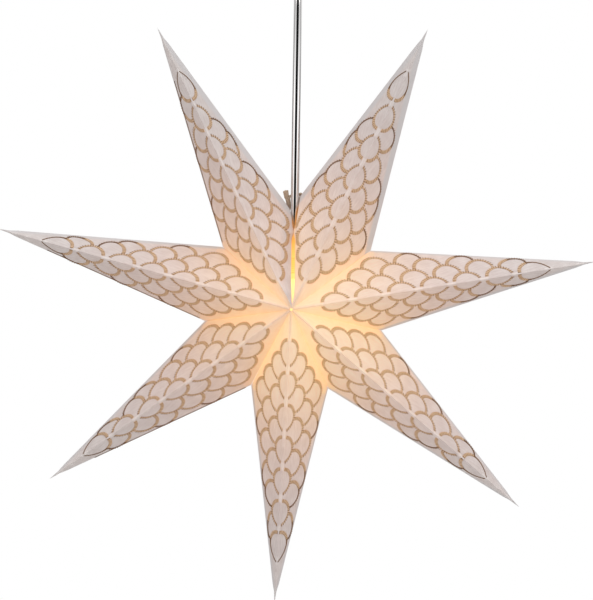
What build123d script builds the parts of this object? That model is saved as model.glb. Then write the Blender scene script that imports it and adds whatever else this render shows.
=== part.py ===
from build123d import *
import math
import os

# Paper star pendant: seven folded paper points around a lamp on a chrome tube.
# Millimetres. The origin is the middle of the ceiling face, +Z is up and the star faces -Y.

# The star. Directions are degrees, counted anticlockwise from +X as seen from the front.
# Each point and each valley has its own direction and its share of the reach, as the paper has settled.
DROP = 400.0
TIP_REACH = 300.0
HALF_DEPTH = 80.0
WALL = 0.5
NOTCH_REACH = 90.5
SLIT_HALF = 5.3
SLIT_RISE_LEFT = 5.2
SLIT_RISE_RIGHT = 17.3
APEX_HOLE = 0.005
SLIT_CREST = 0.017
SLIT_START = 0.10
SLIT_SETBACK = 0.014
VALLEY_GAP_DEG = 0.10
FLAP_SHARE = 0.075
FLAP_START = 0.06
TWINE_RADIUS = 1.4
POINTS = (
    ("point_1", 64.9, 1.003),
    ("point_2", 9.1, 1.000),
    ("point_3", -40.9, 1.000),
    ("point_4", -92.7, 0.990),
    ("point_5", -143.5, 0.993),
    ("point_6", -193.5, 1.006),
    ("point_7", -243.0, 1.012),
)
VALLEYS = (
    (36.0, 1.038),
    (-15.2, 1.008),
    (-66.5, 0.996),
    (-116.8, 0.997),
    (-168.7, 0.987),
    (-218.6, 1.000),
)

# The lamp on the end of the tube. It hangs below the twine, heights above the middle of the star.
TUBE_RADIUS = 4.0
TUBE_BORE = 3.0
TIE_ROOM = 17.5
CAP_TOP = NOTCH_REACH - TIE_ROOM
CAP_HEIGHT = 24.0
CAP_FOOT = CAP_TOP - CAP_HEIGHT
TUBE_INSERT = 14.5
TUBE_END = CAP_TOP - TUBE_INSERT
HOLDER_LENGTH = 23.0
HOLDER_MOUTH = CAP_FOOT - HOLDER_LENGTH
HOLDER_RIM = 5.5
THREAD_PITCH = 2.0
THREAD_TURNS = 8
THREAD_RADIUS = 14.0
THREAD_ROOT = 13.1
HOLDER_INNER = 11.0
CORE_BORE = 8.2
GLOBE_RADIUS = 22.5
GLOBE_DROP = 29.0
GLASS = 0.9

# The ceiling fitting, heights below the ceiling.
BALL_HEIGHT = -28.0
BALL_RADIUS = 11.0
SEAT_INNER = 11.25
SEAT_OUTER = 13.2
SOCKET_INNER = 13.45
SOCKET_OUTER = 15.0
CANOPY_RADIUS = 50.0
CANOPY_WALL = 1.2
CANOPY_FOOT = -27.2
HOLE_SPACING = 64.0
HOLE_RADIUS = 2.6
ENTRY_RADIUS = 5.0
STRAP = 2.0
EAR = 18.0
EAR_GAP = 2.3
SCREW_HEIGHT = -11.0
SCREW_RADIUS = 2.0
FIT = 0.12


def turned(profile):
    """Solid of revolution about Z from (radius, height) corners."""
    with BuildPart() as part:
        with BuildSketch(Plane.XZ):
            with BuildLine():
                Polyline(*profile, close=True)
            make_face()
        revolve(axis=Axis.Z)
    return part.part.solids()[0]


def rod(radius, low, high, x=0.0, y=0.0):
    return Pos(x, y, (low + high) / 2) * Cylinder(radius, high - low)


def ring(outer, inner, low, high, x=0.0, y=0.0):
    return rod(outer, low, high, x, y) - rod(inner, low - 1, high + 1, x, y)


def arc(radius, height, start_deg, end_deg, steps):
    """Corners on a circle about (0, height), angles counted from straight down."""
    corners = []
    for i in range(steps + 1):
        angle = math.radians(start_deg + (end_deg - start_deg) * i / steps)
        corners.append((radius * math.sin(angle), height - radius * math.cos(angle)))
    return corners


def zone(outer, inner, height, start_deg, end_deg):
    """A spherical zone between two radii, angles counted from straight down."""
    outside = arc(outer, height, start_deg, end_deg, 14)
    inside = arc(inner, height, start_deg, end_deg, 14)
    return turned(outside + inside[::-1])


def plated(outer, inner):
    """A closed plate between two matching flat outlines."""
    faces = [Face(Wire.make_polygon(outer, close=True)), Face(Wire.make_polygon(inner, close=True))]
    count = len(outer)
    for i in range(count):
        j = (i + 1) % count
        faces.append(Face(Wire.make_polygon([outer[i], outer[j], inner[j], inner[i]], close=True)))
    return Solid(Shell(faces))


def cord(points, radius):
    """A round cord through the given places."""
    path = Spline(*points)
    start = Plane(origin=path @ 0, z_dir=path % 0)
    return sweep(start * Circle(radius), path=path).solids()[0]


def hexagon(flats, low, high, hole):
    body = Pos(0, 0, low) * extrude(RegularPolygon(flats / 2, 6, major_radius=False), high - low)
    return (body - rod(hole, low - 1, high + 1)).solids()[0]


def flat(direction_deg, reach):
    """A place in the star's middle plane."""
    angle = math.radians(direction_deg)
    return Vector(reach * math.cos(angle), 0, reach * math.sin(angle))


def paper_panel(corners):
    """A flat paper panel: its outline, and the same outline drawn in towards the middle."""
    normal = (corners[1] - corners[0]).cross(corners[2] - corners[0]).normalized()
    away = abs(corners[0].dot(normal))
    shrink = 1 - WALL / away
    return plated(corners, [corner * shrink for corner in corners])


def glue_flap(apex, notch, tip):
    """The strip along a valley that is folded inwards and glued to the next point."""
    near = apex + (notch - apex) * FLAP_START
    outline = [near * 0.985, notch * 0.985, notch * (1 - FLAP_SHARE), near * (1 - FLAP_SHARE)]
    normal = (outline[1] - outline[0]).cross(outline[2] - outline[0]).normalized()
    if normal.dot(tip - notch) < 0:
        normal = normal * -1
    return plated(outline, [corner + normal * WALL for corner in outline])


def paper_point(tip, notches, slits):
    """One folded sheet: two panels in front, two behind, and its glue flaps."""
    solids = []
    for side in (-1, 1):
        apex = Vector(0, side * HALF_DEPTH, 0)
        crest = apex + (tip - apex) * APEX_HOLE
        for notch, at_slit in zip(notches, slits):
            foot = apex + (notch - apex) * APEX_HOLE * 3
            start = crest
            hem = apex
            if at_slit:
                foot = apex + (notch - apex) * SLIT_START + (tip - apex) * SLIT_SETBACK
                start = apex + (tip - apex) * SLIT_CREST
                hem = apex + (foot - crest)
            solids.append(paper_panel([tip, notch, foot, start]))
            solids.append(glue_flap(hem, notch, tip))
    return [Pos(0, 0, -DROP) * solid for solid in solids]


def valley(index, gap_deg):
    """The outer end of a valley, a hair to one side of its middle."""
    direction, share = VALLEYS[index]
    return flat(direction + gap_deg, NOTCH_REACH * share)


def star():
    """The seven points, clockwise from the slit as seen from the front."""
    nodes = {}
    slit_right = Vector(SLIT_HALF, 0, NOTCH_REACH + SLIT_RISE_RIGHT)
    slit_left = Vector(-SLIT_HALF, 0, NOTCH_REACH + SLIT_RISE_LEFT)
    for i, (name, direction, share) in enumerate(POINTS):
        first = i == 0
        last = i == len(POINTS) - 1
        before = slit_right if first else valley(i - 1, -VALLEY_GAP_DEG)
        after = slit_left if last else valley(i, VALLEY_GAP_DEG)
        nodes[name] = paper_point(flat(direction, TIP_REACH * share), (before, after), (first, last))
    return nodes


def ties():
    """The twine glued behind both slit edges, round the back of the tube and knotted beside it."""
    knot = NOTCH_REACH + 14.5 - DROP
    strand = cord([(-9.0, 17.9, knot - 21), (-8.2, 12.9, knot - 16.5), (-7.2, 7.4, knot - 11.5), (-6.9, 4.6, knot - 7),
                   (-7.7, 3.7, knot - 3), (-7.6, 3.4, knot + 0.5), (-5.4, 5.3, knot + 2.6), (-2.6, 6.3, knot + 3),
                   (-0.35, 6.3, knot + 3)], TWINE_RADIUS)
    stub = cord([(-8.6, 2.6, knot + 2.5), (-9.0, 2.0, knot + 5.3), (-9.6, 1.6, knot + 8)], TWINE_RADIUS)
    lump = Pos(-7.6, 3.2, knot + 0.8) * scale(Sphere(3.2), by=(0.9, 0.9, 1.1))
    left = strand + stub + lump
    right = cord([(10.4, 22.2, knot - 15), (9.6, 17.4, knot - 10), (8.9, 13.1, knot - 5.5), (7.9, 8.1, knot - 0.5),
                  (7.2, 5.4, knot + 3.6), (5.9, 5.2, knot + 5.4), (3.6, 6.2, knot + 4.4), (1.6, 6.3, knot + 3.2),
                  (0.35, 6.3, knot + 3)], TWINE_RADIUS)
    return {"tie_left": [left.solids()[0]], "tie_right": [right]}


def lamp():
    """Tube end, threaded lampholder and screw bulb."""
    base = -DROP
    tube_top = BALL_HEIGHT + 16.0
    mouth = base + HOLDER_MOUTH
    foot = base + CAP_FOOT
    crown = base + CAP_TOP
    sleeve = TUBE_RADIUS + FIT
    cap_outer = [(sleeve + 1.28, crown), (sleeve + 1.88, crown - 0.6), (sleeve + 2.48, crown - 2.5)]
    cap_outer += [(THREAD_RADIUS - 6.0, crown - 5), (THREAD_RADIUS - 3.6, crown - 8), (THREAD_RADIUS - 1.4, crown - 13)]
    cap_outer += [(THREAD_RADIUS - 0.2, foot + 5.5), (THREAD_RADIUS, foot)]
    cap_inner = [(THREAD_RADIUS - 1.4, foot), (THREAD_RADIUS - 1.6, foot + 5.5), (THREAD_RADIUS - 2.8, crown - 14)]
    cap_inner += [(THREAD_RADIUS - 5.0, crown - 9.6), (sleeve, crown - 7.5), (sleeve, crown)]
    cap = turned(cap_outer + cap_inner)
    outline = [(HOLDER_INNER, foot - FIT), (THREAD_RADIUS, foot - FIT)]
    for i in range(THREAD_TURNS):
        crest = mouth + HOLDER_RIM + THREAD_PITCH * (THREAD_TURNS - i)
        outline.append((THREAD_RADIUS, crest))
        outline.append((THREAD_ROOT, crest - THREAD_PITCH * 0.35))
        outline.append((THREAD_ROOT, crest - THREAD_PITCH * 0.55))
        outline.append((THREAD_RADIUS, crest - THREAD_PITCH * 0.9))
    outline += [(THREAD_RADIUS, mouth + 1), (THREAD_RADIUS - 1, mouth), (HOLDER_INNER, mouth)]
    body = turned(outline)
    bridge = foot - 5
    roof = foot - 1
    core = ring(HOLDER_INNER - FIT, CORE_BORE, mouth + 2, bridge) + rod(HOLDER_INNER - FIT, bridge, roof)
    core = core - rod(1.3, bridge - 1, roof + 1) - rod(1.0, bridge - 1, roof + 1, x=5.4)
    shell = ring(CORE_BORE - FIT, CORE_BORE - 0.7, mouth + 2.5, bridge - 0.5)
    contact = rod(3.2, bridge - 1.4, bridge - 0.2) + rod(1.2, bridge - 0.2, foot + 3)
    side_contact = rod(0.9, bridge - 0.1, foot + 3, x=5.4)
    nut = hexagon(14.0, base + TUBE_END + 0.8, base + TUBE_END + 3.8, sleeve)
    tube = ring(TUBE_RADIUS, TUBE_BORE, base + TUBE_END, tube_top)

    neck = mouth + 2.5
    globe = mouth - GLOBE_DROP
    throat = CORE_BORE - 0.9
    glass_outer = arc(GLOBE_RADIUS, globe, 0, 138, 30)
    glass_outer += [(throat + 4.1, neck - 10.9), (throat + 1.9, neck - 7.9), (throat + 0.5, neck - 4.5), (throat, neck)]
    glass_inner = [(throat - GLASS, neck), (throat + 0.5 - GLASS, neck - 4.5), (throat + 1.9 - GLASS, neck - 8.2)]
    glass_inner += [(throat + 4.1 - GLASS, neck - 11.5)]
    glass_inner += arc(GLOBE_RADIUS - GLASS, globe, 138, 0, 30)
    glass = turned(glass_outer + glass_inner)
    sheath = throat - 0.35
    cap_side = [(sheath, neck + FIT), (sheath, bridge - 5), (4.6, bridge - 3), (4.6, bridge - 3.8)]
    cap_side += [(sheath - 0.65, bridge - 5.4), (sheath - 0.65, neck + FIT)]
    bulb_cap = turned(cap_side)
    bulb_tip = rod(4.4, bridge - 4, bridge - 3) + rod(2.2, bridge - 3, bridge - 1.7)
    stem = rod(2.6, globe + 13, neck + 0.7) + rod(sheath - 0.85, neck + 0.7, neck + 1.9)
    filament = []
    for x, y in ((5.0, 0.0), (0.0, 5.0), (-5.0, 0.0), (0.0, -5.0)):
        filament.append(cord([(x * 0.68, y * 0.68, globe + 14), (x, y, globe + 6), (x * 1.1, y * 1.1, globe - 8)], 0.6))
    return {
        "tube": [tube],
        "holder_cap": [cap],
        "cap_locknut": [nut],
        "holder_body": [body],
        "holder_core": core.solids(),
        "holder_screw_shell": shell.solids(),
        "centre_contact": contact.solids(),
        "side_contact": side_contact.solids(),
        "bulb_cap": [bulb_cap],
        "bulb_tip": bulb_tip.solids(),
        "bulb_glass": [glass],
        "bulb_stem": stem.solids(),
        "bulb_filament": filament,
    }


def ceiling_fitting():
    """Bracket, canopy with its ball seat, and the wiring inside."""
    inside = CANOPY_RADIUS - CANOPY_WALL
    half = inside - EAR_GAP
    strap = Pos(0, 0, -STRAP / 2) * Box(2 * half, 22, STRAP)
    for side in (-1, 1):
        strap += Pos(side * (half - STRAP / 2), 0, -EAR / 2) * Box(STRAP, 14, EAR)
        strap -= rod(HOLE_RADIUS, -5, 5, x=side * HOLE_SPACING / 2)
        strap -= Pos(side * half, 0, SCREW_HEIGHT) * Rot(0, 90, 0) * Cylinder(SCREW_RADIUS + FIT, 12)
    strap -= rod(ENTRY_RADIUS, -5, 5, x=-14)
    cup = [(CANOPY_RADIUS, -0.4), (CANOPY_RADIUS, CANOPY_FOOT + 6), (CANOPY_RADIUS - 0.6, CANOPY_FOOT + 3.3)]
    cup += [(CANOPY_RADIUS - 2.2, CANOPY_FOOT + 1.1), (CANOPY_RADIUS - 5, CANOPY_FOOT)]
    cup += arc(SOCKET_OUTER, BALL_HEIGHT, 86, 38, 14)
    cup += arc(SOCKET_INNER, BALL_HEIGHT, 38, 98, 16)
    cup += [(CANOPY_RADIUS - 5, CANOPY_FOOT + CANOPY_WALL), (inside - 1.8, CANOPY_FOOT + CANOPY_WALL + 1.0)]
    cup += [(inside - 0.4, CANOPY_FOOT + 4.2), (inside, CANOPY_FOOT + 6), (inside, -0.4)]
    canopy = turned(cup)
    screws = []
    for side in (-1, 1):
        canopy = canopy - Pos(side * CANOPY_RADIUS, 0, SCREW_HEIGHT) * Rot(0, 90, 0) * Cylinder(SCREW_RADIUS + 0.3, 12)
        tail = half - STRAP - 0.5
        neck = CANOPY_RADIUS + 0.3
        shank = Pos(side * (tail + neck) / 2, 0, SCREW_HEIGHT) * Rot(0, 90, 0) * Cylinder(SCREW_RADIUS, neck - tail)
        head = Pos(side * (neck + 1.9), 0, SCREW_HEIGHT) * Rot(0, 90, 0) * Cylinder(4.4, 4.0)
        screws.append((shank + head).solids()[0])
    block = Pos(19, 0, -8.1) * Box(16, 20, 12)
    block_screws = []
    for y in (-5, 5):
        block -= Pos(19, y, -7.0) * Rot(0, 90, 0) * Cylinder(1.9, 30)
        for x in (15, 23):
            block -= rod(1.5, -15, -8, x=x, y=y)
            block_screws.append(rod(1.4, -13.4, -9.2, x=x, y=y))
    return {
        "ceiling_bracket": strap.solids(),
        "canopy": canopy.solids(),
        "canopy_screws": screws,
        "terminal_block": block.solids(),
        "terminal_screws": block_screws,
    }


def swivel():
    """Ball, its nylon seat, the nut on the tube's end and the lead."""
    ball = turned([(r, h) for r, h in arc(BALL_RADIUS, BALL_HEIGHT, 23, 140, 24)]
                  + [(TUBE_RADIUS + 0.05, BALL_HEIGHT + 8.4), (TUBE_RADIUS + 0.05, BALL_HEIGHT - 10.1)])
    seat = zone(SEAT_OUTER, SEAT_INNER, BALL_HEIGHT, 37, 82)
    nut = hexagon(13.0, BALL_HEIGHT + 8.5, BALL_HEIGHT + 13.0, TUBE_RADIUS + 0.05)
    lead = [rod(2.2, TUBE_END - DROP - 5.5, BALL_HEIGHT + 17.0)]
    cores = []
    for y in (-5, 5):
        cores.append(cord([(0.2 * y / 5, 0.22 * y, -10.8), (1.4, 0.32 * y, -8.0), (5.4, 0.8 * y, -6.4),
                           (12.0, y, -7.0), (21.0, y, -7.0)], 0.9))
    return {"swivel_ball": [ball], "swivel_seat": [seat], "tube_locknut": [nut],
            "lamp_lead": lead, "lead_cores": cores}


def save(nodes):
    os.makedirs("parts", exist_ok=True)
    for name, solids in nodes.items():
        shape = solids[0] if len(solids) == 1 else Compound(children=list(solids))
        export_step(shape, f"parts/{name}.step")


save(ceiling_fitting())
save(swivel())
save(lamp())
save(star())
save(ties())
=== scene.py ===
import math

import bmesh
import bpy
from mathutils import Matrix, Vector


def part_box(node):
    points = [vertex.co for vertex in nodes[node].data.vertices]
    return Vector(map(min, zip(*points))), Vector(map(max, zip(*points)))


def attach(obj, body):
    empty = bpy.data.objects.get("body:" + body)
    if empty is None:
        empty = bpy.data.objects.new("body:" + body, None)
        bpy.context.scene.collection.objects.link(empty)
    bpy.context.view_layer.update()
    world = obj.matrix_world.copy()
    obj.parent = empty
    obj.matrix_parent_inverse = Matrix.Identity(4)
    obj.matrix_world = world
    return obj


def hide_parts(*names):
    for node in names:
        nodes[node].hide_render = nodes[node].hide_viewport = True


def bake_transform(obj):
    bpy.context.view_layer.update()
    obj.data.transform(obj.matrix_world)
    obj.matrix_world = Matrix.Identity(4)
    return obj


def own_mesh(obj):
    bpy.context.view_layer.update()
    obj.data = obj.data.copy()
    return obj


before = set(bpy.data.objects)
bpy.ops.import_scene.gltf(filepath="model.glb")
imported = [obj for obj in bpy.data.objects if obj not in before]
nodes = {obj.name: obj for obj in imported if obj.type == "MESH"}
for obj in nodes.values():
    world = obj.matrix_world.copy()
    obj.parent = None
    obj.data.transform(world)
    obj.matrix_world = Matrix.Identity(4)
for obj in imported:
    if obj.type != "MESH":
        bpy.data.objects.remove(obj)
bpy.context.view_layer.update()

# Metres. The origin is the middle of the ceiling face, +Z is up and the star faces -Y.
MM = 0.001

# The paper star, directions in degrees anticlockwise from +X as seen from the front.
STAR_CENTRE = Vector((0, 0, -400 * MM))
TIP_REACH = 300 * MM
HALF_DEPTH = 80 * MM
NOTCH_REACH = 90.5 * MM
SLIT_HALF = 5.3 * MM
SLIT_RISE_LEFT = 5.2 * MM
SLIT_RISE_RIGHT = 17.3 * MM
SLIT_FOOT = 2.2 * MM
SLIT_APEX = 0.9 * MM
SLIT_LEAN = 1.4 * MM
SLIT_LEAN_FROM = 12 * MM
SLIT_LEAN_TO = 60 * MM
SLIT_OPENS = 25 * MM
SLIT_SHUT = 72.8 * MM
SLIT_HELD = 4.2 * MM
SLIT_HELD_SHARE = 0.9
SLIT_BEND = SLIT_SHUT + 15 * MM
SLIT_WIDENS = 9 * MM
SLIT_LOWER = 2.0 * MM
SLIT_UPPER = 1.8 * MM
SLIT_WIDER = 2.9 * MM
SLIT_DRAWN = 8 * MM
SLIT_FADE = (math.radians(30), math.radians(48))
SLIT_START = 0.10
SLIT_SETBACK = 0.014
APEX_HOLE = 0.005
VALLEY_HOLE = APEX_HOLE * 3
VALLEY_GAP_DEG = 0.10
FLAP_SHARE = 0.075
FLAP_ASIDE = 0.6 * MM
PAPER = 0.45 * MM
COCKLE = 0.45 * MM
COCKLE_SIDE = (0, 14 * MM)
COCKLE_CREST = (64 * MM, 79 * MM)
COCKLE_WAVES = ((61, 23), (-19, 47), (131, -97))
COCKLE_PHASE = 1.3
COCKLE_FINE = 0.5
PANEL_CUTS = 23
POINTS = (
    ("point_1", "arm_1", "fold_1", 64.9, 1.003),
    ("point_2", "arm_2", "fold_2", 9.1, 1.000),
    ("point_3", "arm_3", "fold_3", -40.9, 1.000),
    ("point_4", "star", "fold_3", -92.7, 0.990),
    ("point_5", "arm_5", "fold_5", -143.5, 0.993),
    ("point_6", "arm_6", "fold_6", -193.5, 1.006),
    ("point_7", "arm_7", "fold_7", -243.0, 1.012),
)
VALLEYS = ((36.0, 1.038), (-15.2, 1.008), (-66.5, 0.996), (-116.8, 0.997), (-168.7, 0.987), (-218.6, 1.000))

# The lamp, and how strongly it shows through the two sides of each point, clockwise from the slit.
SHINE = ((0.85, 0.90), (1.12, 1.15), (1.50, 1.12), (1.30, 1.24), (0.74, 0.95), (0.82, 0.88), (0.86, 0.52))
BULB = STAR_CENTRE + Vector((0, 0, -3 * MM))
THREAD_PITCH = 2 * MM
THREAD_ROOT_HEIGHT = STAR_CENTRE.z + 30.6 * MM
THREAD_FOOT = STAR_CENTRE.z + 31.5 * MM
THREAD_TOP = STAR_CENTRE.z + 47.5 * MM
THREAD_FADE = 0.5 * MM
GLOBE_LOWER = (BULB.z - 12 * MM, BULB.z + 20 * MM)
GLOBE_UPPER = (BULB.z + 20 * MM, BULB.z + 34 * MM)
HOLDER_LIT = (BULB.z + 30 * MM, BULB.z + 80 * MM)
SHINE_START = 80 * MM
SHINE_FALL = 70 * MM
SHINE_MOST = 1.35
SLIT_SHADE = 0.8
SLIT_SHADE_REACH = 7 * MM
GLOW_LEVELS = (0.41, 0.21, 0.06)

# The stitched scale pattern, on a panel's own axes: along the ridge from the apex, and across from it.
CELL_PITCH = 33.6 * MM
FIRST_CELL = 45.2 * MM
COLUMN_SHIFT = 17.7 * MM
COLUMNS = (0.0, 15.2 * MM, 29.3 * MM, 42.4 * MM)
CELL_ALONG = 13.4 * MM
CELL_ACROSS = 14.3 * MM
RIDGE_STRIP = 3.2 * MM
EDGE_MARGINS = ((7, 9), (2.5, 5), (3, 4), (4, 5), (2, 5), (1, 4), (1, 8))
BORDER_MARGIN = 2 * MM
BORDER_INSIDE = 0.9 * MM
COLUMN_STEP = 14.6 * MM
EDGE_SLOPE = 0.3254
RIDGE_LENGTH = 310.5 * MM
SCALE_LEAST = 4.0 * MM
LAST_CELL = 252 * MM
LAST_REACH = 19 * MM
LAST_POINT = 1.4
LAST_STRIP = 1.5 * MM
BAND_WIDTH = 3.8 * MM
BAND_SLIM = 0.64
OUTER_SLIM = 0.30
BAND_HEIGHT = 0.40 * MM
BAND_SINK = 0.15 * MM
BAND_SHOULDER = 0.8
BAND_CROWN = 1.25
BAND_NARROWS = (math.radians(60), math.radians(105))
BAND_STEPS = 14
BROWN = 1
FAINT = 2
STITCH_LENGTH = 4.3 * MM
OUTER_STITCH = 3.4 * MM
STITCH_WIDTH = 1.0 * MM
STITCH_HEIGHT = 0.9 * MM
STITCH_OUT = 0.3 * MM
SLIT_MARGIN_LEFT = 9.0 * MM
SLIT_MARGIN_RIGHT = 6.6 * MM
STITCH_PITCH = 2.45 * MM
STITCHES_FROM = math.radians(80)
STITCHES_TO = math.radians(170)
BORDER_START = 104 * MM
BORDER_END = 262 * MM
BORDER_HALF = 0.5 * MM
BORDER_SHOULDER = 0.6
BORDER_STEPS = 24
ARM_SLOPE = 0.29
NEEDLE_HALF = 0.85 * MM
NEEDLE_LENGTH = 7 * MM
NEEDLE_ROOT = 18 * MM
NEEDLE_EXTRA = 1.8 * MM
TIP_CLOSE = 60 * MM
TIP_LEAST = 0.1 * MM

# The two insulated wires, bent between the swivel and the terminal block.
CORE_RADIUS = 0.9 * MM
CORE_BEND = 5.0 * MM
CORE_HELD = 12.0 * MM

# The twine. Its routes are in millimetres: sideways, back, and up from the knot.
TWINE_RADIUS = 1.4 * MM
TWINE_LAY = 5.0 * MM
TWINE_STEP = 0.4 * MM
PLY_SHARE = 0.52
DOUBLED_SHARE = 1.3
LOOP_SHARE = 0.9
KNOT_PLACES = 18
KNOT_HEIGHT = STAR_CENTRE.z + NOTCH_REACH + 14.5 * MM
KNOT_MIDDLE = (-7.4, 3.2, 0.8)
KNOT_SIZE = (0.72, 1.1, 0.9)
TIE_LEFT = (
    (-9.0, 17.9, -21), (-8.2, 12.9, -16.5), (-7.2, 7.4, -11.5), (-6.9, 4.6, -7), (-7.7, 3.7, -3),
    (-7.6, 3.4, 0.5), (-5.4, 5.3, 2.6), (-2.6, 6.3, 3), (-0.35, 6.3, 3),
)
TIE_RIGHT = (
    (10.4, 22.2, -15), (9.6, 17.4, -10), (8.9, 13.1, -5.5), (7.9, 8.1, -0.5), (7.2, 5.4, 3.6),
    (5.9, 5.2, 5.4), (3.6, 6.2, 4.4), (1.6, 6.3, 3.2), (0.35, 6.3, 3),
)
TIE_STRANDS = (
    ((-6.6, 8.2, -12.5), (-5.9, 5.6, -9.5), (-5.6, 4.0, -6.5), (-5.9, 3.4, -3), (-6.4, 3.2, 0)),
    ((-7.6, 2.8, 1.5), (-8.0, 2.0, 5.0), (-8.3, 1.6, 8.0)),
    ((-8.9, 2.8, 1.5), (-9.6, 2.2, 4.6), (-10.4, 1.6, 7.4)),
)
TIE_TAIL = ((5.9, 4.8, 3.4), (5.0, 4.6, 0.5), (4.4, 4.9, -4.0), (4.2, 6.2, -8.5), (4.3, 8.8, -13.0))

# The picture: 600 pixels tall, its middle a little right of and above the star's centre.
PICTURE_LONG = 600
FOCAL_PIXELS = 2519.9
FRAME_RIGHT = 3.3
FRAME_UP = 4.9
VIEW_AZIMUTH = 1.326
VIEW_ELEVATION = 3.188
VIEW_ROLL = 0.9
VIEW_DISTANCE = 2.5

# The light round it, angles in degrees from straight in front.
FLOOR_HEIGHT = -2.4
FLOOR_RADIUS = 4.0
BOX_NEAR = (30, 38)
BOX_FAR = (72, 92)
CARD_HEIGHT = (0.22, 0.32)
STRIP_MIDDLE = 0.05
STRIP_HALF = (0.07, 0.12)
STRIP_LEVEL = 1.3
STRIP_EDGE = 0.23
FLANK_NEAR = (98, 108)
FLANK_FAR = (140, 155)
BEHIND_FROM = (150, 165)
OVERHEAD_FROM = (0.35, 0.8)
UNDER_FROM = (0.3, 0.8)
BOX_LEVEL = 0.60
FLANK_LEVEL = 0.66
OVERHEAD_LEVEL = 0.44
SIDE_LEVEL = 0.13
RIGHT_LEVEL = 0.15
UNDER_LEVEL = 0.10
BEHIND_LEVEL = 0.5
LEAST_LEVEL = 0.01
LAMP_PLACE = Vector((0.75, -0.75, 0.25))
LAMP_AIM = Vector((0, 0, -0.22))
LAMP_SIZE = 0.6
LAMP_POWERS = ((-1, 1.15), (1, 1.75))


class Wire:
    """A shader socket that takes part in Python expressions; each operator adds its node."""

    def __init__(self, tree, socket=None):
        self.tree = tree
        self.socket = socket

    def make(self, kind, settings=None, sockets=None, out=0):
        """Adds a node, sets it up, fills or links its sockets and gives back one of its outputs."""
        made = self.tree.nodes.new(kind)
        for name, value in (settings or {}).items():
            setattr(made, name, value)
        for name, value in (sockets or {}).items():
            if isinstance(value, Wire):
                self.tree.links.new(value.socket, made.inputs[name])
            else:
                made.inputs[name].default_value = value
        return Wire(self.tree, made.outputs[out])

    def into(self, socket):
        self.tree.links.new(self.socket, socket)

    def maths(self, operation, first, second=0.0):
        return self.make("ShaderNodeMath", {"operation": operation}, {0: first, 1: second})

    def __add__(self, other):
        return self.maths("ADD", self, other)

    def __radd__(self, other):
        return self.maths("ADD", other, self)

    def __sub__(self, other):
        return self.maths("SUBTRACT", self, other)

    def __rsub__(self, other):
        return self.maths("SUBTRACT", other, self)

    def __mul__(self, other):
        return self.maths("MULTIPLY", self, other)

    def __rmul__(self, other):
        return self.maths("MULTIPLY", other, self)

    def __truediv__(self, other):
        return self.maths("DIVIDE", self, other)

    def __pow__(self, other):
        return self.maths("POWER", self, other)

    def ramp(self, low, high):
        """0 at low, 1 at high, smooth between."""
        return self.make("ShaderNodeMapRange", {"interpolation_type": "SMOOTHSTEP"},
                         {"Value": self, "From Min": low, "From Max": high})

    def mix(self, first, second):
        """A colour between two, by this value."""
        return self.make("ShaderNodeMix", {"data_type": "RGBA"}, {0: self, 6: first, 7: second}, out=2)

    def noise(self, scale, detail=3.0, roughness=0.55):
        return self.make("ShaderNodeTexNoise", None,
                         {"Vector": self, "Scale": scale, "Detail": detail, "Roughness": roughness})

    def stretched(self, along, across, deep):
        """This place with its axes scaled, for grain that runs one way."""
        return self.make("ShaderNodeMapping", None, {"Vector": self, "Scale": (along, across, deep)})

    def bump(self, strength, distance):
        return self.make("ShaderNodeBump", None,
                         {"Height": self, "Strength": strength, "Distance": distance})


def finish(name, **fixed):
    """A new material with its fixed values set: the material, its shader and a wire to build on."""
    material = bpy.data.materials.new(name)
    material.use_nodes = True
    shader = material.node_tree.nodes["Principled BSDF"]
    for socket, value in fixed.items():
        shader.inputs[socket.replace("_", " ")].default_value = value
    return material, shader, Wire(material.node_tree)


def attribute(wire, name, out="Fac"):
    return wire.make("ShaderNodeAttribute", {"attribute_name": name}, out=out)


def object_place(wire):
    return wire.make("ShaderNodeTexCoord", out="Object")


def parted(wire, place):
    """A place's three numbers, each on its own wire."""
    split = wire.make("ShaderNodeSeparateXYZ", None, {"Vector": place}).socket.node
    return [Wire(wire.tree, number) for number in split.outputs]


def lamp_glow(wire, shader, share):
    """Light that comes through from the lamp: it reddens as it weakens."""
    glow = attribute(wire, "glow")
    red_level, green_level, blue_level = GLOW_LEVELS
    red = glow * (red_level * share)
    green = (glow ** 1.5) * (green_level * share)
    blue = (glow ** 2.0) * (blue_level * share)
    colour = wire.make("ShaderNodeCombineColor", None, {"Red": red, "Green": green, "Blue": blue})
    colour.into(shader.inputs["Emission Color"])
    shader.inputs["Emission Strength"].default_value = 1.0


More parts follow.
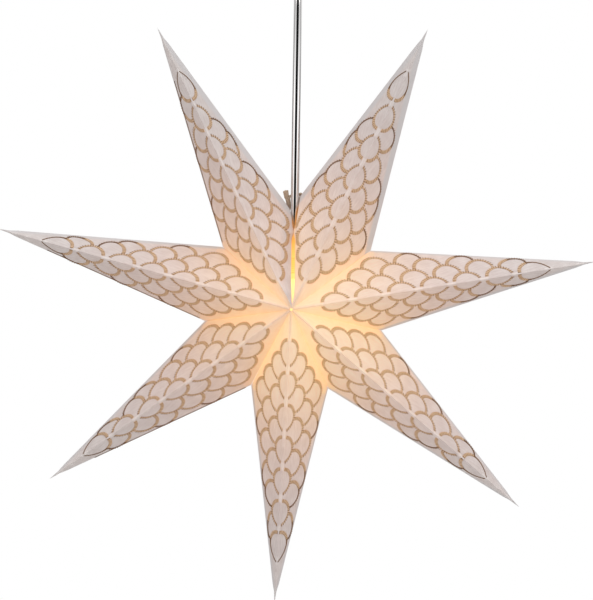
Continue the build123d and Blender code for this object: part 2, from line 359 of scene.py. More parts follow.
def handmade_paper():
    """Pale handmade paper: faint fibres, a soft mottle and fine tooth; the lamp's light through it is
    painted warm into its colour, less inside the scales, and a painted highlight lies on the ridge between
    the scales.
    """
    material, shader, wire = finish("handmade_paper", Roughness=0.9, Specular_IOR_Level=0.15)
    sheet = attribute(wire, "sheet", out="Vector")
    along, across, margin = parted(wire, sheet)
    turned = wire.make("ShaderNodeMapping", None, {"Vector": sheet, "Rotation": (0, 0, math.radians(-12))})
    fibres = turned.stretched(60, 900, 1).noise(1.0, 4.0, 0.6)
    mottle = sheet.noise(95.0, 4.0, 0.6)
    tooth = sheet.noise(2600.0, 2.0)
    lay = fibres.ramp(0.35, 0.68) * 0.55 + mottle.ramp(0.30, 0.72) * 0.45
    shade = lay.mix((0.645, 0.60, 0.585, 1), (0.785, 0.755, 0.745, 1))
    number = wire.maths("FLOOR", across / COLUMN_STEP)
    share = across / COLUMN_STEP - number
    first = number * COLUMN_SHIFT + FIRST_CELL - wire.maths("SQRT", 1 - share * share) * CELL_ALONG
    # Inside the scales, where less of the lamp's light is painted in.
    inside_scales = (along - first).ramp(-0.8 * MM, 0.8 * MM)
    hem = 1 - ((RIDGE_LENGTH - along) * EDGE_SLOPE - across - margin).ramp(-3.0 * MM, 1.6 * MM)
    # Painted highlight: the ridge fold between the scales is painted paler.
    middle = wire.maths("PINGPONG", along - FIRST_CELL, CELL_PITCH / 2)
    neck = middle.ramp(11.5 * MM, 13.5 * MM) * (1 - across.ramp(2.0 * MM, 3.0 * MM))
    pale = (neck * 0.6).mix(shade, (0.86, 0.835, 0.82, 1))
    # Painted lamp light: the colour is warmed where the lamp shines through the paper, less inside the
    # scales; the hem takes a plain grey over it.
    painted_lamp_warmth = attribute(wire, "glow").ramp(0.35, 1.1) * (0.48 - inside_scales * 0.30)
    lamp_warmed_colour = painted_lamp_warmth.mix(pale, (0.74, 0.58, 0.42, 1))
    hem.mix(lamp_warmed_colour, (0.70, 0.68, 0.685, 1)).into(shader.inputs["Base Color"])
    relief = fibres * 0.7 + tooth * 0.3
    relief.bump(0.35, 0.25 * MM).into(shader.inputs["Normal"])
    # The lamp's light through the paper is painted as a glow, weaker inside the scales, on the hem, and
    # along the ridge close to the apex.
    dim_ridge_root = (1 - across.ramp(1.2 * MM, 3.4 * MM)) * (1 - along.ramp(26 * MM, 38 * MM))
    lamp_glow(wire, shader, (1.14 - inside_scales * 0.32) * (1 - hem * 0.7) * (1 - dim_ridge_root * 0.32))
    return material


def gold_thread():
    """Flat couched gold thread, each turn of the winding standing a little proud."""
    material, shader, wire = finish("gold_thread", Roughness=0.6, Metallic=0.1, Specular_IOR_Level=0.35)
    along = attribute(wire, "along")
    turns = wire.maths("SINE", along * (2 * math.pi / STITCH_PITCH))
    wear = object_place(wire).noise(420.0, 3.0)
    tone = turns.ramp(-0.6, 0.5) * 0.75 + wear.ramp(0.3, 0.7) * 0.25
    tone.mix((0.31, 0.185, 0.10, 1), (0.82, 0.60, 0.40, 1)).into(shader.inputs["Base Color"])
    turns.bump(0.5, 0.12 * MM).into(shader.inputs["Normal"])
    lamp_glow(wire, shader, 0.42)
    return material


def fine_thread(name, dark, light, roughness, grain, detail, share):
    """A fine thread, uneven in tone, with the lamp's light showing through it by a share."""
    material, shader, wire = finish(name, Roughness=roughness, Specular_IOR_Level=0.3)
    wear = object_place(wire).noise(grain, detail)
    wear.ramp(0.3, 0.7).mix((*dark, 1), (*light, 1)).into(shader.inputs["Base Color"])
    wear.bump(0.3, 0.1 * MM).into(shader.inputs["Normal"])
    lamp_glow(wire, shader, share)
    return material


def twine():
    """Beige paper twine, fibres along each strand."""
    material, shader, wire = finish("twine", Roughness=0.85, Specular_IOR_Level=0.2)
    place = object_place(wire)
    fibres = place.stretched(1.0, 1.0, 0.35).noise(2200.0, 4.0)
    shade = fibres.ramp(0.3, 0.7).mix((0.46, 0.335, 0.235, 1), (0.74, 0.60, 0.47, 1))
    shade.into(shader.inputs["Base Color"])
    fibres.bump(0.6, 0.2 * MM).into(shader.inputs["Normal"])
    return material


def chrome():
    """Polished chrome with the faintest haze of handling."""
    material, shader, wire = finish("polished_chrome", Metallic=1.0)
    place = object_place(wire)
    haze = place.noise(60.0, 3.0)
    drawn = place.stretched(1.0, 1.0, 0.02).noise(900.0, 2.0)
    (haze * 0.05 + drawn * 0.03 + 0.015).into(shader.inputs["Roughness"])
    haze.mix((0.80, 0.80, 0.81, 1), (0.88, 0.88, 0.88, 1)).into(shader.inputs["Base Color"])
    return material


def plated_metal(name, dark, light, roughness):
    """Turned or pressed metal with fine tool marks."""
    material, shader, wire = finish(name, Metallic=1.0)
    place = object_place(wire)
    marks = place.stretched(1.0, 1.0, 6.0).noise(700.0, 3.0)
    blotch = place.noise(120.0, 3.0)
    blotch.ramp(0.3, 0.7).mix((*dark, 1), (*light, 1)).into(shader.inputs["Base Color"])
    (marks * 0.2 + roughness).into(shader.inputs["Roughness"])
    marks.bump(0.15, 0.08 * MM).into(shader.inputs["Normal"])
    return material


def moulded(name, dark, light, roughness):
    """Moulded plastic or porcelain with a slight orange peel."""
    material, shader, wire = finish(name, Specular_IOR_Level=0.45)
    place = object_place(wire)
    peel = place.noise(500.0, 2.0)
    cloud = place.noise(60.0, 3.0)
    cloud.ramp(0.3, 0.7).mix((*dark, 1), (*light, 1)).into(shader.inputs["Base Color"])
    (peel * 0.12 + roughness).into(shader.inputs["Roughness"])
    peel.bump(0.12, 0.08 * MM).into(shader.inputs["Normal"])
    return material


def opal_glass():
    """The lit globe: brightest round its middle, warmer towards the neck."""
    material, shader, wire = finish("opal_glass", Roughness=0.35, Base_Color=(0.9, 0.82, 0.68, 1))
    height = parted(wire, object_place(wire))[2]
    low = height.ramp(*GLOBE_LOWER)
    high = 1 - height.ramp(*GLOBE_UPPER)
    swirl = object_place(wire).noise(70.0, 2.0)
    level = (low * 0.45 + 0.55) * (high * 0.6 + 0.4) * (swirl * 0.1 + 0.95)
    level.mix((0.80, 0.46, 0.12, 1), (0.92, 0.70, 0.30, 1)).into(shader.inputs["Emission Color"])
    shader.inputs["Emission Strength"].default_value = 1.0
    return material


def lit_holder():
    """Cream plastic close above the lit globe, with the globe's light on it painted as a glow, brightest at
    its mouth, and painted shade between the ribs of its thread.
    """
    material = moulded("lit_holder", (0.60, 0.54, 0.44), (0.70, 0.64, 0.54), 0.35)
    shader = material.node_tree.nodes["Principled BSDF"]
    wire = Wire(material.node_tree)
    height = parted(wire, object_place(wire))[2]
    near = 1 - height.ramp(*HOLDER_LIT)
    # Painted shade between the ribs of the thread, darkening the painted glow.
    rib_shade = wire.maths("COSINE", (height - THREAD_ROOT_HEIGHT) * (2 * math.pi / THREAD_PITCH)) * 0.5 + 0.5
    below = 1 - height.ramp(THREAD_TOP - THREAD_FADE, THREAD_TOP)
    above = height.ramp(THREAD_FOOT, THREAD_FOOT + THREAD_FADE)
    shade = near * (1 - rib_shade * below * above * 0.9)
    shade.mix((0.66, 0.27, 0.03, 1), (0.98, 0.68, 0.17, 1)).into(shader.inputs["Emission Color"])
    shader.inputs["Emission Strength"].default_value = 0.95
    return material


def filament_glow():
    """White-hot threads."""
    material, shader, wire = finish("filament_glow", Roughness=0.5, Base_Color=(0.9, 0.7, 0.4, 1))
    pulse = object_place(wire).noise(300.0, 2.0)
    pulse.mix((1.0, 0.6, 0.2, 1), (1.0, 0.75, 0.4, 1)).into(shader.inputs["Emission Color"])
    shader.inputs["Emission Strength"].default_value = 8.0
    return material


def piece(name, bm, body, slot, *materials):
    """A finished mesh as an object that rides on a body, or on none if it is to bend between two."""
    mesh = bpy.data.meshes.new(name)
    bm.to_mesh(mesh)
    bm.free()
    for material in materials:
        mesh.materials.append(material)
    made = bpy.data.objects.new(name, mesh)
    bpy.context.scene.collection.objects.link(made)
    if body:
        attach(made, body)
    return made


def clamped(share):
    return min(1.0, max(0.0, share))


def smoothly(value, low, high):
    share = clamped((value - low) / (high - low))
    return share * share * (3 - 2 * share)


def in_star(direction_deg, reach):
    """A place in the star's middle plane, from its centre."""
    angle = math.radians(direction_deg)
    return Vector((reach * math.cos(angle), 0, reach * math.sin(angle)))


def valley(index, gap_deg):
    """The outer end of a valley, a hair to one side of its middle."""
    direction, share = VALLEYS[index]
    return in_star(direction + gap_deg, NOTCH_REACH * share)


class Panel:
    """One flat side of a paper point: where its corners are, and its own axes."""

    def __init__(self, tip, notch, side, at_slit, shine, margin):
        apex = Vector((0, side * HALF_DEPTH, 0))
        self.margin = margin
        self.apex = apex
        self.tip = tip
        self.notch = notch
        self.shine = shine
        self.at_slit = at_slit
        self.crest = apex + (tip - apex) * APEX_HOLE
        self.foot = apex + (notch - apex) * VALLEY_HOLE
        if at_slit:
            self.foot = apex + (notch - apex) * SLIT_START + (tip - apex) * SLIT_SETBACK
        self.along = (tip - apex).normalized()
        leg = notch - apex
        across = leg - self.along * leg.dot(self.along)
        self.spread = across.length / ((tip - apex).length - leg.dot(self.along)) / EDGE_SLOPE
        self.across = across.normalized()
        self.slit_slope = 0.0
        self.slit_margin = SLIT_MARGIN_LEFT if notch.x < 0 else SLIT_MARGIN_RIGHT
        if at_slit:
            self.slit_slope = across.length / self.spread / leg.dot(self.along)
        out = self.along.cross(self.across)
        self.mirrored = out.dot(apex) < 0
        self.out = -out if self.mirrored else out

    def matrix(self):
        """From the pattern's flat axes to this panel."""
        axes = Matrix((self.along, self.across * self.spread, self.out)).transposed()
        return Matrix.Translation(self.apex) @ axes.to_4x4()

    def flat(self, place):
        """Where a place lies on the panel: along, across and out of it."""
        away = place - self.apex
        return Vector((away.dot(self.along), away.dot(self.across) / self.spread, away.dot(self.out)))

    def glow(self, place):
        """How brightly the lamp shows through at a place, less beside the slit's left edge."""
        distance = (place + STAR_CENTRE - BULB).length
        bright = self.shine * math.exp((SHINE_START - distance) / SHINE_FALL)
        if self.at_slit and self.notch.x < 0:
            rise = place.z / self.notch.z
            from_slit = max(0.0, -place.x - SLIT_HALF * rise - SLIT_FOOT * (1 - rise))
            bright *= 1 - SLIT_SHADE * math.exp(-((from_slit / SLIT_SHADE_REACH) ** 2))
        return bright / (1 + (bright / SHINE_MOST) ** 4) ** 0.25


def settle(place, tip, slit_notch):
    """How the paper has settled: cockled a little, a needle at its tip, drawn in at the slit."""
    reach = tip.length
    heading = tip / reach
    from_tip = max(reach - place.dot(heading), TIP_LEAST)
    centre_line = heading * place.dot(heading)
    settled = centre_line + (place - centre_line) * needle(from_tip)
    settled += heading * NEEDLE_EXTRA * max(0.0, 1 - from_tip / NEEDLE_LENGTH)
    broad, slanting, fine = [place.x * across + place.z * up for across, up in COCKLE_WAVES]
    wave = math.sin(broad) * math.sin(slanting + COCKLE_PHASE) + COCKLE_FINE * math.sin(fine)
    free = smoothly(abs(place.y), *COCKLE_SIDE) * (1 - smoothly(abs(place.y), *COCKLE_CREST))
    settled.y += math.copysign(COCKLE * wave * free, place.y)
    if slit_notch:
        settled.x -= math.copysign(slit_pull(place, slit_notch), slit_notch.x)
    return settled


def needle(from_tip):
    """How much narrower than its straight sides a point is, near its tip."""
    straight = from_tip * ARM_SLOPE
    root = NEEDLE_ROOT * ARM_SLOPE
    slope = (root - NEEDLE_HALF) / (NEEDLE_ROOT - NEEDLE_LENGTH)
    drawn = NEEDLE_HALF + max(0.0, from_tip - NEEDLE_LENGTH) * slope
    return min(1.0, drawn / straight)


def slit_pull(place, notch):
    """How far a slit edge is drawn in: shut where the twine holds it, open above and below."""
    notch_height = notch.z
    rise = place.z / notch_height
    edge = SLIT_HALF * rise + SLIT_FOOT * (1 - rise)
    gap = SLIT_APEX + (SLIT_LOWER - SLIT_APEX) * clamped(place.z / SLIT_OPENS)
    lean = clamped(place.z / SLIT_LEAN_FROM) * clamped(1 - place.z / SLIT_LEAN_TO)
    gap += math.copysign(SLIT_LEAN, notch.x) * lean
    if place.z > SLIT_SHUT:
        past_bend = place.z - SLIT_BEND
        gap = SLIT_UPPER + (SLIT_WIDER - SLIT_UPPER) * clamped((past_bend + SLIT_WIDENS) / SLIT_WIDENS)
        gap += (SLIT_HALF - SLIT_WIDER) * clamped(past_bend / (notch_height - SLIT_BEND))
    shut = math.exp(-(((place.z - SLIT_SHUT) / SLIT_HELD) ** 4))
    gap *= 1 - SLIT_HELD_SHARE * shut
    near = math.exp(-(max(0.0, abs(place.x) - edge) / SLIT_DRAWN) ** 2)
    near *= 1 - smoothly(math.atan2(abs(place.x), place.z), *SLIT_FADE)
    return max(0.0, edge - gap) * near


def paper_mesh(panels, tip, slit_notch):
    """The folded sheet of one point with its glue flaps, thickened inwards."""
    bm = bmesh.new()
    number = bm.faces.layers.int.new("panel")
    spots = {}

    def spot(place):
        key = tuple(round(c, 6) for c in place)
        if key not in spots:
            spots[key] = bm.verts.new(place)
        return spots[key]

    for index, panel in enumerate(panels):
        corners = [spot(panel.tip), spot(panel.notch), spot(panel.foot), spot(panel.crest)]
        if panel.mirrored:
            corners.reverse()
        bm.faces.new(corners)[number] = index
        inward = 1 - FLAP_SHARE
        sideways = panel.along * FLAP_ASIDE
        flap = [spot(panel.foot), spot(panel.notch)]
        flap += [spot(panel.notch * inward + sideways), spot(panel.foot * inward + sideways)]
        if panel.mirrored:
            flap.reverse()
        bm.faces.new(flap)[number] = index
    bmesh.ops.subdivide_edges(bm, edges=bm.edges[:], cuts=PANEL_CUTS, use_grid_fill=True)
    heading = tip.normalized()
    for vert in bm.verts:
        share = min(1.0, (tip - vert.co).dot(heading) / TIP_CLOSE)
        vert.co = settle(tip + (vert.co - tip) * math.sqrt(max(share, 0.0)), tip, slit_notch)
    outside = len(bm.verts)
    bmesh.ops.solidify(bm, geom=bm.faces[:], thickness=PAPER)
    bm.verts.ensure_lookup_table()
    for vert in bm.verts[outside:]:
        reach = vert.co.dot(heading)
        if tip.length - reach < NEEDLE_LENGTH:
            vert.co = heading * reach
    sheet = bm.verts.layers.float_vector.new("sheet")
    glow = bm.loops.layers.float.new("glow")
    for face in bm.faces:
        panel = panels[face[number]]
        for loop in face.loops:
            place = panel.flat(loop.vert.co)
            loop.vert[sheet] = (place.x, place.y, panel.margin)
            loop[glow] = panel.glow(loop.vert.co)
    bmesh.ops.translate(bm, verts=bm.verts[:], vec=STAR_CENTRE)
    return bm


def on_scale(scale, turn, offset):
    """A place on a scale's edge: turn 0 is towards the apex, a half turn is towards the tip."""
    column, centre, across, reach = scale
    ahead = -math.cos(turn)
    length = reach if ahead > 0 else CELL_ALONG
    side = max(0.0, math.sin(turn))
    if ahead > 0:
        side **= 1 + (reach / CELL_ALONG - 1) * LAST_POINT
    return Vector((centre + (length + offset) * ahead, column + (across + offset) * side, 0))


def scale_band(bm, arc_length, scale, outermost):
    """One scale's couched edge: half a ring, and at the sheet's edge a thin dark line towards the tip."""
    half = BAND_WIDTH / 2
    narrow = OUTER_SLIM if outermost else BAND_SLIM
    shoulder = half * BAND_SHOULDER
    section = ((-half, -BAND_SINK), (-shoulder, BAND_HEIGHT), (0, BAND_HEIGHT * BAND_CROWN),
               (shoulder, BAND_HEIGHT), (half, -BAND_SINK))
    known = set(bm.verts)
    profile = [bm.verts.new((-CELL_ALONG - offset, 0, height)) for offset, height in section]
    edges = [bm.edges.new((profile[i - 1], profile[i])) for i in range(len(profile))]
    bmesh.ops.spin(bm, geom=profile + edges, axis=(0, 0, -1), angle=math.pi, steps=BAND_STEPS)
    verts = [v for v in bm.verts if v not in known]
    for vert in verts:
        turn = math.atan2(vert.co.y, -vert.co.x)
        offset = math.hypot(vert.co.x, vert.co.y) - CELL_ALONG
        slim = 1 - (1 - narrow) * smoothly(turn, *BAND_NARROWS)
        height = vert.co.z
        vert.co = on_scale(scale, turn, offset * slim)
        vert.co.z = height
        vert[arc_length] = turn * CELL_ALONG
    faces = {f for v in verts for f in v.link_faces}
    for face in faces:
        if sum(v[arc_length] for v in face.verts) / len(face.verts) > STITCHES_FROM * CELL_ALONG:
            face.material_index = BROWN if outermost else FAINT
    if scale[0] == 0:
        strip = RIDGE_STRIP if scale[3] == CELL_ALONG else LAST_STRIP
        geometry = verts + list({e for v in verts for e in v.link_edges}) + list(faces)
        bmesh.ops.bisect_plane(bm, geom=geometry, plane_co=(0, strip, 0), plane_no=(0, 1, 0),
                               clear_inner=True)


def scale_stitches(bm, scale, long):
    """The stitches across the slim half of a scale's edge."""
    turn = STITCHES_FROM
    while turn < STITCHES_TO:
        place = on_scale(scale, turn, STITCH_OUT)
        if place.y > RIDGE_STRIP:
            outward = on_scale(scale, turn, STITCH_OUT + long) - place
            stand = Matrix.Rotation(math.atan2(outward.y, outward.x), 4, "Z")
            size = Matrix.Diagonal((long / 2, STITCH_WIDTH / 2, STITCH_HEIGHT, 1))
            made = bmesh.ops.create_icosphere(bm, subdivisions=1, radius=1,
                                              matrix=Matrix.Translation(place) @ stand @ size)
            for face in {f for v in made["verts"] for f in v.link_faces}:
                face.material_index = BROWN
        turn += STITCH_PITCH / CELL_ALONG


def border(bm):
    """The dark thread along the sheet's outer fold."""
    rows = []
    section = ((-1, -BAND_SINK), (-BORDER_SHOULDER, BAND_HEIGHT), (BORDER_SHOULDER, BAND_HEIGHT),
               (1, -BAND_SINK))
    for i in range(BORDER_STEPS + 1):
        along = BORDER_START + (BORDER_END - BORDER_START) * i / BORDER_STEPS
        middle = (RIDGE_LENGTH - along) * EDGE_SLOPE - BORDER_INSIDE
        row = [(along, middle + side * BORDER_HALF, height) for side, height in section]
        rows.append([bm.verts.new(place) for place in row])
    for row, following in zip(rows, rows[1:]):
        for k in range(len(section) - 1):
            face = bm.faces.new((row[k], row[k + 1], following[k + 1], following[k]))
            face.material_index = BROWN


def scale_pattern(slit_slope, slit_margin, margin):
    """Every scale of one panel, lying flat: along the ridge, across from it, and up."""
    bm = bmesh.new()
    arc_length = bm.verts.layers.float.new("along")
    for k, column in enumerate(COLUMNS):
        centre = FIRST_CELL + COLUMN_SHIFT * k
        while centre < LAST_CELL:
            edge_room = (RIDGE_LENGTH - centre) * EDGE_SLOPE - margin
            room = edge_room
            if slit_slope:
                room = min(room, centre * slit_slope - slit_margin)
            across = min(CELL_ACROSS, room - column)
            if across > SCALE_LEAST:
                last = column == 0 and centre + CELL_PITCH > LAST_CELL
                outermost = last or edge_room - column < COLUMN_STEP + SCALE_LEAST
                scale = (column, centre, across, LAST_REACH if last else CELL_ALONG)
                scale_band(bm, arc_length, scale, outermost)
                if not last:
                    scale_stitches(bm, scale, OUTER_STITCH if outermost else STITCH_LENGTH)
            centre += CELL_PITCH
    if margin <= BORDER_MARGIN:
        border(bm)
    bmesh.ops.holes_fill(bm, edges=[e for e in bm.edges if e.is_boundary])
    bmesh.ops.recalc_face_normals(bm, faces=bm.faces[:])
    mesh = bpy.data.meshes.new("scale_pattern")
    bm.to_mesh(mesh)
    bm.free()
    return mesh


def stitched_mesh(patterns, panels, tip, slit_notch):
    """The pattern laid on the four sides of one point."""
    bm = bmesh.new()
    for panel in panels:
        first_vert = len(bm.verts)
        first_face = len(bm.faces)
        key = (round(panel.slit_slope, 4), panel.margin)
        if key not in patterns:
            patterns[key] = scale_pattern(panel.slit_slope, panel.slit_margin, panel.margin)
        bm.from_mesh(patterns[key])
        bm.verts.ensure_lookup_table()
        bm.faces.ensure_lookup_table()
        glow = bm.verts.layers.float.get("glow") or bm.verts.layers.float.new("glow")
        bm.verts.ensure_lookup_table()
        lay = panel.matrix()
        for vert in bm.verts[first_vert:]:
            place = lay @ vert.co
            vert[glow] = panel.glow(place)
            vert.co = settle(place, tip, slit_notch)
        if panel.mirrored:
            bm.faces.ensure_lookup_table()
            bmesh.ops.reverse_faces(bm, faces=bm.faces[first_face:])
    bmesh.ops.translate(bm, verts=bm.verts[:], vec=STAR_CENTRE)
    return bm


def flatten(made, point):
    """Gives a piece a mesh of its own; the fold and direction of its paper point are read, but nothing is
    done with them.
    """
    joint, direction = point[2:4]
    in_star(direction + 90, 1)
    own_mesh(made)


def star():
    """Seven folded points, each a paper sheet and its stitched pattern."""
    paper = handmade_paper()
    gold = gold_thread()
    brown = fine_thread("brown_stitch", (0.15, 0.08, 0.035), (0.25, 0.14, 0.07), 0.6, 900.0, 2.0, 0.25)
    faint = fine_thread("faint_thread", (0.59, 0.425, 0.285), (0.75, 0.565, 0.405), 0.7, 420.0, 3.0, 0.55)
    patterns = {}
    count = len(POINTS)
    for i, (node, body, _, direction, share) in enumerate(POINTS):
        tip = in_star(direction, TIP_REACH * share)
        before = Vector((SLIT_HALF, 0, NOTCH_REACH + SLIT_RISE_RIGHT))
        after = Vector((-SLIT_HALF, 0, NOTCH_REACH + SLIT_RISE_LEFT))
        if i > 0:
            before = valley(i - 1, -VALLEY_GAP_DEG)
        if i < count - 1:
            after = valley(i, VALLEY_GAP_DEG)
        panels = []
        for side in (-1, 1):
            panels.append(Panel(tip, before, side, i == 0, SHINE[i][0], EDGE_MARGINS[i][0] * MM))
            panels.append(Panel(tip, after, side, i == count - 1, SHINE[i][1], EDGE_MARGINS[i][1] * MM))
        slit_notch = {0: before, count - 1: after}.get(i)
        sheet = piece(node + "_paper", paper_mesh(panels, tip, slit_notch), body, "paper", paper)
        stitches = stitched_mesh(patterns, panels, tip, slit_notch)
        bands = piece(node + "_stitching", stitches, body, "paper", gold, brown, faint)
        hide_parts(node)
        bands.data.shade_smooth()
        flatten(sheet, POINTS[i])
        flatten(bands, POINTS[i])
    for pattern in patterns.values():
        bpy.data.meshes.remove(pattern)


def curve_mesh(points, radius=0.0, closed=False):
    """A smooth line through a route, or a round tube along it, as a mesh."""
    curve = bpy.data.curves.new("route", "CURVE")
    curve.dimensions = "3D"
    curve.resolution_u = 8
    curve.bevel_depth = radius
    curve.bevel_resolution = 2
    curve.use_fill_caps = True
    spline = curve.splines.new("NURBS")
    spline.points.add(len(points) - 1)
    for point, place in zip(spline.points, points):
        point.co = (*place, 1)
    spline.order_u = 3
    spline.use_endpoint_u = not closed
    spline.use_cyclic_u = closed
    holder = bpy.data.objects.new("route", curve)
    mesh = bpy.data.meshes.new_from_object(holder)
    bpy.data.objects.remove(holder)
    bpy.data.curves.remove(curve)
    return mesh


def add_curve(bm, points, radius, closed=False):
    """Adds a round tube along a route to a mesh in the making."""
    mesh = curve_mesh(points, radius, closed)
    bm.from_mesh(mesh)
    bpy.data.meshes.remove(mesh)


def line(points):
    """Places along the smooth line of a route."""
    mesh = curve_mesh(points)
    places = [v.co.copy() for v in mesh.vertices]
    bpy.data.meshes.remove(mesh)
    return places


def lay_twine(bm, places, radius):
    """Three plies twisted round each other along a line."""
    ply = radius * PLY_SHARE
    for k in range(3):
        turn = 2 * math.pi * k / 3
        route = []
        aside = Vector((0, 0, 1))
        for i, place in enumerate(places):
            ahead = (places[min(i + 1, len(places) - 1)] - places[max(i - 1, 0)]).normalized()
            aside = (aside - ahead * aside.dot(ahead)).normalized()
            swung = Matrix.Rotation(turn, 3, ahead) @ aside
            route.append(place + swung * (radius - ply))
            if i + 1 < len(places):
                turn += (places[i + 1] - place).length / TWINE_LAY * 2 * math.pi
        add_curve(bm, route, ply)


def by_knot(place):
    """A place given in millimetres from the middle of the tube at the knot's height."""
    x, y, rise = place
    return Vector((x * MM, y * MM, KNOT_HEIGHT + rise * MM))


def twine_path(route):
    """The smooth line of a route, with places close enough together to twist the plies along it."""
    places = line([by_knot(place) for place in route])
    close = [places[0]]
    for a, b in zip(places, places[1:]):
        pieces = max(1, math.ceil((b - a).length / TWINE_STEP))
        close += [a.lerp(b, k / pieces) for k in range(1, pieces + 1)]
    return close


def ties():
    """The twine glued behind both slit edges, and its knot beside the tube."""
    material = twine()
    across, deep, tall = KNOT_SIZE

    def tied(name, bm, body, node):
        made = piece(name, bm, body, "twine", material)
        made.data.shade_smooth()
        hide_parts(node)
        return made

    bm = bmesh.new()
    for strand in TIE_STRANDS:
        lay_twine(bm, twine_path(strand), TWINE_RADIUS * DOUBLED_SHARE)
    loops = []
    for k in range(KNOT_PLACES):
        turn = 2 * math.pi * k / KNOT_PLACES
        aside = (math.sin(turn) + 2 * math.sin(2 * turn)) * across
        upward = (math.cos(turn) - 2 * math.cos(2 * turn)) * tall
        loops.append(by_knot(KNOT_MIDDLE) + Vector((aside, -math.sin(3 * turn) * deep, upward)) * MM)
    add_curve(bm, loops, TWINE_RADIUS * LOOP_SHARE, closed=True)
    knot = tied("tie_knot", bm, "arm_7", "tie_left")
    bm = bmesh.new()
    lay_twine(bm, twine_path(TIE_TAIL), TWINE_RADIUS)
    tail = tied("tie_tail", bm, "arm_1", "tie_right")

    for node, body, route, on_it, point in (("tie_left", "arm_7", TIE_LEFT, knot, POINTS[-1]),
                                            ("tie_right", "arm_1", TIE_RIGHT, tail, POINTS[0])):
        bm = bmesh.new()
        path = twine_path(route)
        lay_twine(bm, path, TWINE_RADIUS)
        tie = tied(node + "_twine", bm, body, node)
        length = sum((b - a).length for a, b in zip(path, path[1:]))
        flatten(tie, point)
    flatten(knot, POINTS[-1])
    flatten(tail, POINTS[0])


def wiring():
    """The two insulated wires in the canopy and the lead inside the tube."""
    brown = moulded("brown_insulation", (0.10, 0.04, 0.02), (0.14, 0.06, 0.03), 0.4)
    blue = moulded("blue_insulation", (0.02, 0.06, 0.22), (0.03, 0.09, 0.30), 0.4)
    sheath = moulded("white_sheath", (0.66, 0.65, 0.62), (0.75, 0.74, 0.71), 0.45)
    for name, side, material in (("core_brown", -1, brown), ("core_blue", 1, blue)):
        route = [(0.2 * side, 1.1 * side, -10.8), (1.4, 1.6 * side, -8.0), (5.4, 4.0 * side, -6.4),
                 (12.0, 5.0 * side, -7.0), (16.0, 5.0 * side, -7.0), (21.0, 5.0 * side, -7.0)]
        places = line([Vector(p) * MM for p in route])
        half = next(k for k, place in enumerate(places) if place.x > CORE_BEND)
        held = next(k for k, place in enumerate(places) if place.x > CORE_HELD)
        for end, part, bodies, start, stop in (("_low", places[:half + 1], ("hanger", "seat"), 0, half),
                                               ("_high", places[half:], ("seat", "ceiling"), half, held)):
            bm = bmesh.new()
            add_curve(bm, part, CORE_RADIUS)
            wire = piece(name + end, bm, None, "lead", material)
            wire.data.shade_smooth()
            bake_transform(wire)
            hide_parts("lead_cores")
    low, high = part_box("lamp_lead")
    bm = bmesh.new()
    radius = (high.x - low.x) / 2
    bmesh.ops.create_cone(bm, cap_ends=True, segments=32, radius1=radius, radius2=radius,
                          depth=high.z - low.z, matrix=Matrix.Translation((low + high) / 2))
    rims = [e for e in bm.edges if len({round(v.co.z, 5) for v in e.verts}) == 1]
    bmesh.ops.bevel(bm, geom=rims, offset=0.5 * MM, segments=3, profile=0.5, affect="EDGES", material=-1)
    lead = piece("lead_sheath", bm, "hanger", "lead", sheath)
    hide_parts("lamp_lead")


def dress_frame():
    """The finish of each rigid part."""
    shiny = chrome()
    steel = plated_metal("zinc_plated_steel", (0.46, 0.46, 0.47), (0.62, 0.62, 0.62), 0.28)
    nickel = plated_metal("nickel_plate", (0.62, 0.59, 0.54), (0.74, 0.71, 0.66), 0.18)
    brass = plated_metal("brass", (0.55, 0.40, 0.16), (0.72, 0.54, 0.24), 0.22)
    cream = lit_holder()
    porcelain = moulded("white_core", (0.72, 0.71, 0.68), (0.80, 0.79, 0.77), 0.3)
    nylon = moulded("nylon", (0.68, 0.67, 0.62), (0.76, 0.75, 0.71), 0.5)
    clear = moulded("stem_glass", (0.75, 0.72, 0.66), (0.85, 0.82, 0.76), 0.2)
    opal = opal_glass()
    hot = filament_glow()
    worn = {
        "tube": shiny, "canopy": shiny, "canopy_screws": shiny,
        "swivel_ball": steel, "tube_locknut": steel, "cap_locknut": steel, "ceiling_bracket": steel,
        "terminal_screws": steel,
        "swivel_seat": nylon, "terminal_block": nylon,
        "holder_cap": cream, "holder_body": cream, "holder_core": porcelain,
        "holder_screw_shell": brass, "centre_contact": brass, "side_contact": brass, "bulb_tip": brass,
        "bulb_cap": nickel, "bulb_glass": opal, "bulb_stem": clear, "bulb_filament": hot,
    }
    for name, material in worn.items():
        mesh = nodes[name].data
        mesh.materials.clear()
        mesh.materials.append(material)


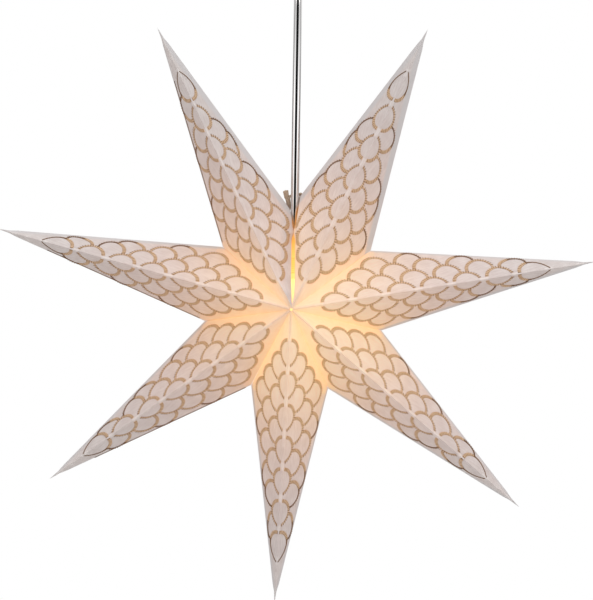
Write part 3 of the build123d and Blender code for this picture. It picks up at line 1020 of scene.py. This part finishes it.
def studio():
    """White all round, soft boxes beside the camera, shade behind it, and a pale floor."""
    world = bpy.data.worlds.new("studio")
    bpy.context.scene.world = world
    world.use_nodes = True
    tree = world.node_tree
    background = tree.nodes["Background"]
    wire = Wire(tree)
    heading = wire.make("ShaderNodeTexCoord", out="Generated")
    sideways, ahead, height = parted(wire, heading)
    round_angle = wire.maths("ARCTAN2", wire.maths("ABSOLUTE", sideways), 0 - ahead) * (180 / math.pi)
    card = (1 - round_angle.ramp(*BOX_NEAR)) * (1 - wire.maths("ABSOLUTE", height).ramp(*CARD_HEIGHT))
    boxes = (1 - card) * (1 - round_angle.ramp(*BOX_FAR))
    beside = round_angle.ramp(*BOX_FAR) * (sideways.ramp(-0.1, 0.1) * RIGHT_LEVEL + SIDE_LEVEL)
    behind = round_angle.ramp(*BEHIND_FROM)
    overhead = height.ramp(*OVERHEAD_FROM)
    under = (0 - height).ramp(*UNDER_FROM)
    flank = round_angle.ramp(*FLANK_NEAR) * (1 - round_angle.ramp(*FLANK_FAR))
    level = boxes * BOX_LEVEL + beside + flank * FLANK_LEVEL + behind * BEHIND_LEVEL
    level = level + overhead * OVERHEAD_LEVEL + under * UNDER_LEVEL + LEAST_LEVEL
    strip = 1 - wire.maths("ABSOLUTE", height + STRIP_MIDDLE).ramp(*STRIP_HALF)
    mirrored = boxes * STRIP_LEVEL + round_angle.ramp(*BOX_FAR) * STRIP_EDGE + LEAST_LEVEL
    level = level * (1 - strip) + mirrored * strip
    seen = wire.make("ShaderNodeLightPath", out="Is Camera Ray")
    (seen + (1 - seen) * level).into(background.inputs["Strength"])
    seen.mix((1.0, 0.985, 0.975, 1), (1, 1, 1, 1)).into(background.inputs["Color"])
    bm = bmesh.new()
    bmesh.ops.create_circle(bm, cap_ends=True, segments=96, radius=FLOOR_RADIUS,
                            matrix=Matrix.Translation((0, 0, FLOOR_HEIGHT)))
    mesh = bpy.data.meshes.new("floor")
    bm.to_mesh(mesh)
    bm.free()
    material, shader, wire = finish("pale_floor", Roughness=0.8)
    grain = object_place(wire).noise(3.0, 2.0)
    grain.mix((0.82, 0.82, 0.81, 1), (0.88, 0.88, 0.87, 1)).into(shader.inputs["Base Color"])
    mesh.materials.append(material)
    floor = bpy.data.objects.new("floor", mesh)
    bpy.context.scene.collection.objects.link(floor)


def soft_lamps():
    """Two soft lamps, above the star on either side of the camera."""
    for side, power in LAMP_POWERS:
        data = bpy.data.lights.new("soft_lamp", "AREA")
        data.size = LAMP_SIZE
        data.energy = power
        data.color = (1.0, 0.975, 0.955)
        lamp = bpy.data.objects.new("soft_lamp", data)
        bpy.context.scene.collection.objects.link(lamp)
        place = Vector((LAMP_PLACE.x * side, LAMP_PLACE.y, LAMP_PLACE.z))
        turn = (LAMP_AIM - place).to_track_quat("-Z", "Y")
        lamp.matrix_world = Matrix.Translation(place) @ turn.to_matrix().to_4x4()


def camera():
    """From just right of the front and a little above, a long way off."""
    azimuth = math.radians(VIEW_AZIMUTH)
    elevation = math.radians(VIEW_ELEVATION)
    back = Vector((math.sin(azimuth) * math.cos(elevation), -math.cos(azimuth) * math.cos(elevation),
                   math.sin(elevation)))
    data = bpy.data.cameras.new("camera")
    data.sensor_width = 36.0
    data.lens = FOCAL_PIXELS * data.sensor_width / PICTURE_LONG
    data.shift_x = FRAME_RIGHT / PICTURE_LONG
    data.shift_y = FRAME_UP / PICTURE_LONG
    data.clip_end = 50
    made = bpy.data.objects.new("camera", data)
    bpy.context.scene.collection.objects.link(made)
    turn = (-back).to_track_quat("-Z", "Y").to_matrix() @ Matrix.Rotation(math.radians(VIEW_ROLL), 3, "Z")
    made.matrix_world = Matrix.Translation(STAR_CENTRE + back * VIEW_DISTANCE) @ turn.to_4x4()
    bpy.context.scene.camera = made


star()
ties()
wiring()
dress_frame()
studio()
soft_lamps()
camera()
bpy.context.scene.view_settings.view_transform = "Standard"
